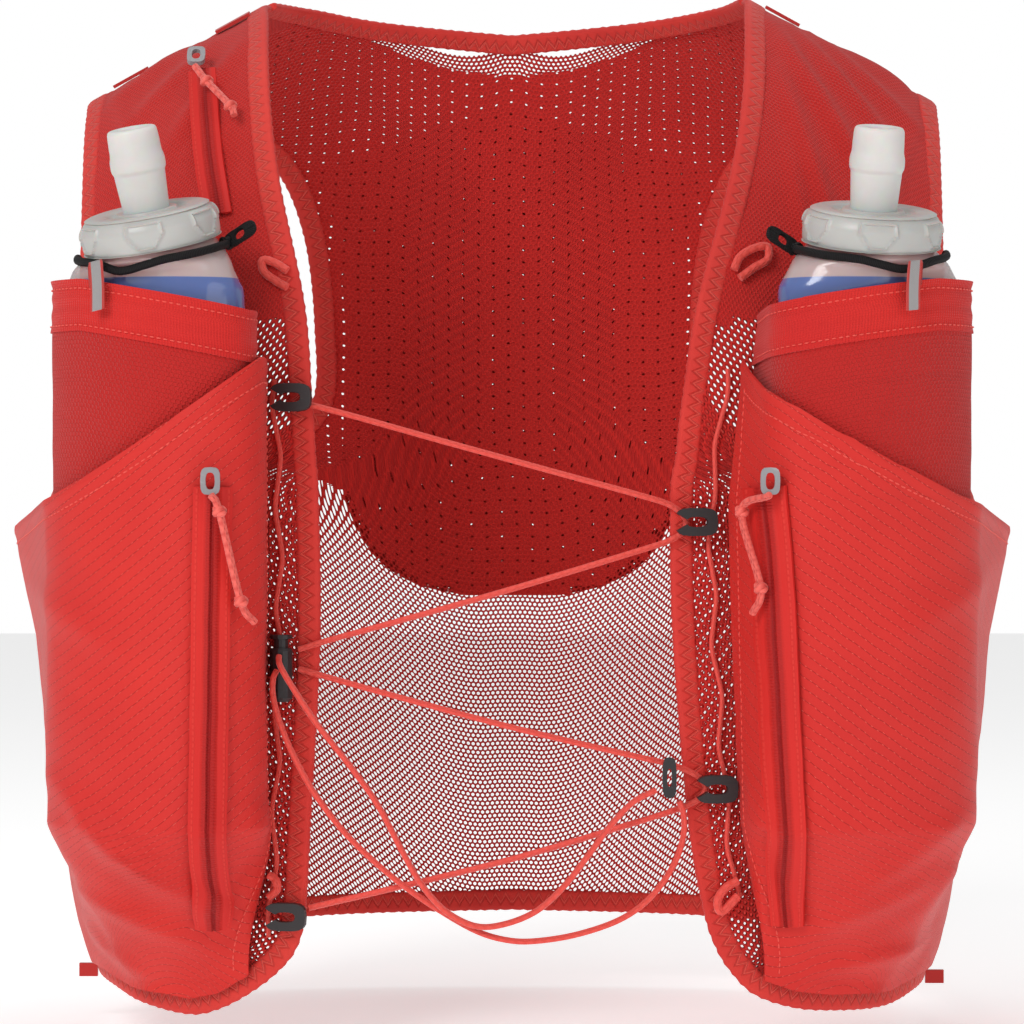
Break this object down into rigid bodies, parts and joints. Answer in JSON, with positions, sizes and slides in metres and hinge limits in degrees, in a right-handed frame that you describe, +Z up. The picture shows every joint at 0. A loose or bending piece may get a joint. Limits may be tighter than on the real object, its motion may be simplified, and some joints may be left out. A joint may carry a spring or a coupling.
{
  "type": "running hydration vest",
  "caption": "Close-fitting running vest with laced open front, chest pockets holding soft flasks with bite valves, slanted zip pockets and a racer back.",
  "frame": {"origin": "midway between the shoulders at the height of their crown, where the straps rest on the wearer", "axes": "+Z up, -Y the way the wearer faces, so +X is the wearer's left"},
  "size_m": [0.3768, 0.256, 0.3775],
  "materials": {
    "ripstop": "thin ripstop, satin",
    "red_mesh": "open knit mesh, matte",
    "red_binding": "stretch binding, matte",
    "red_knit": "solid knit tape, matte",
    "red_cord": "braided cord, matte",
    "black_elastic": "woven elastic, matte",
    "black_plastic": "moulded, satin",
    "grey_cap": "moulded, satin, slightly translucent",
    "clear_silicone": "translucent silicone",
    "flask_film": "flexible clear film",
    "grey_tape": "woven reflective tape"
  },
  "bodies": {
    "vest": {"right_front_panel": "red_mesh", "right_edge_binding": "red_binding", "right_armhole_binding": "red_binding", "right_flask_pocket": "red_mesh", "right_pocket_band": "red_knit", "right_front_pocket": "ripstop", "right_flask": "flask_film", "right_flask_retainer": "black_elastic", "right_tape_loop": "grey_tape", "right_zip": "red_knit", "right_zip_slider": "black_plastic", "right_zip_pull": "red_cord", "right_shoulder_keeper_inner": "red_binding", "right_shoulder_keeper_outer": "red_binding", "right_hem_loop": "red_binding", "right_pole_loop_upper": "red_cord", "right_pole_loop_lower": "red_cord", "right_rail_cord": "red_cord", "left_front_panel": "red_mesh", "left_edge_binding": "red_binding", "left_armhole_binding": "red_binding", "left_flask_pocket": "red_mesh", "left_pocket_band": "red_knit", "left_front_pocket": "ripstop", "left_flask": "flask_film", "left_flask_retainer": "black_elastic", "left_tape_loop": "grey_tape", "left_zip": "red_knit", "left_zip_slider": "black_plastic", "left_zip_pull": "red_cord", "left_shoulder_keeper_inner": "red_binding", "left_shoulder_keeper_outer": "red_binding", "left_hem_loop": "red_binding", "left_pole_loop_upper": "red_cord", "left_pole_loop_lower": "red_cord", "left_rail_cord": "red_cord", "back_panel": "red_mesh", "back_pocket": "ripstop", "neck_binding": "red_binding", "back_hem_binding": "red_binding", "chest_zip": "red_knit", "chest_zip_slider": "black_plastic", "chest_zip_pull": "red_cord", "hook_upper_right": "black_plastic", "hook_upper_left": "black_plastic", "hook_lower_left": "black_plastic", "hook_lower_right": "black_plastic", "cord_lock_barrel": "black_plastic", "cord_clip": "black_plastic", "upper_lace": "red_cord", "lower_lace": "red_cord", "draw_cord_front": "red_cord", "draw_cord_back": "red_cord"},
    "right_cap": {"right_flask_cap": "grey_cap", "right_bite_valve": "clear_silicone"},
    "left_cap": {"left_flask_cap": "grey_cap", "left_bite_valve": "clear_silicone"},
    "lock_plunger": {"cord_lock_plunger": "black_plastic"}
  },
  "joints": [
    {"name": "right_cap_turn", "type": "hinge", "parent": "vest", "child": "right_cap", "pos_m": [-0.12575, -0.11883, -0.1005], "axis": [-0.1628, -0.2136, 0.9633], "range_deg": [0, 90]},
    {"name": "left_cap_turn", "type": "hinge", "parent": "vest", "child": "left_cap", "pos_m": [0.12575, -0.11883, -0.1005], "axis": [0.0523, -0.2161, 0.975], "range_deg": [0, 90]},
    {"name": "cord_lock_press", "type": "slide", "parent": "vest", "child": "lock_plunger", "axis": [0, 0, -1], "range_m": [0, 0.003], "stiffness_N_per_m": 1200, "springref_m": -0.002}
  ]
}
